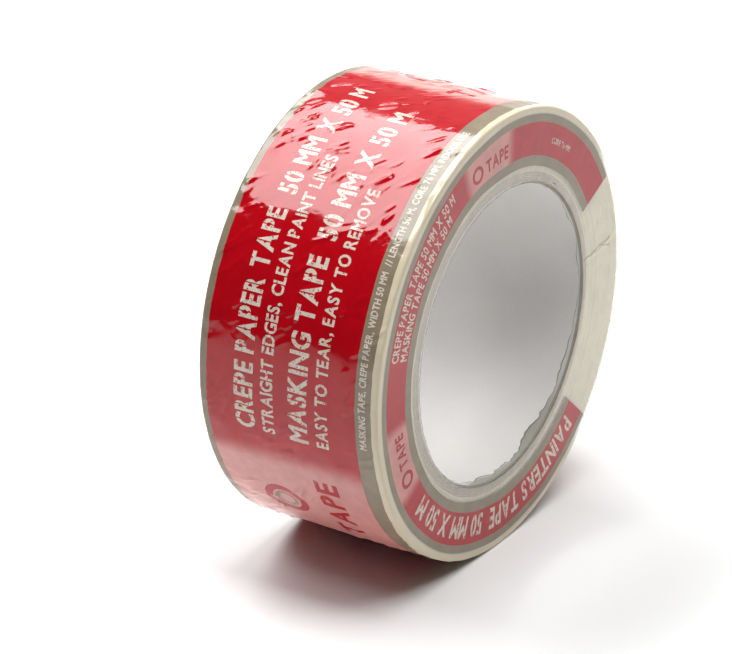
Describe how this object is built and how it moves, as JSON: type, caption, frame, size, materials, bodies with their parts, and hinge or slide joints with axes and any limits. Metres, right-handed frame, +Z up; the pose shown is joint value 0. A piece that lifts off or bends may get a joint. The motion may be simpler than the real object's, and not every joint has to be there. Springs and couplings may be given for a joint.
{
  "type": "masking tape roll",
  "caption": "Roll of 50 mm paper masking tape on a 76 mm board core, sealed in a printed shrink-film sleeve and standing on its tread.",
  "frame": {"origin": "centre of the bore, halfway across the roll's width", "axes": "+Y along the roll's axis, away from the side face that is seen first; +Z up, through the tread opposite the flat that the roll rests on"},
  "size_m": [0.114, 0.0508, 0.114],
  "materials": {
    "printed_film": "clear shrink film printed in red and grey, glossy and finely wrinkled",
    "crepe_paper": "cream creped masking paper",
    "core_liner_paper": "smooth white paper liner of the core",
    "core_board": "grey recycled core board"
  },
  "bodies": {
    "root": {"film_sleeve": "printed_film", "tape_winding": "crepe_paper", "core_liner": "core_liner_paper", "core_ply_1": "core_board", "core_ply_2": "core_board", "core_ply_3": "core_board", "core_ply_4": "core_board", "core_ply_5": "core_board"}
  },
  "joints": []
}
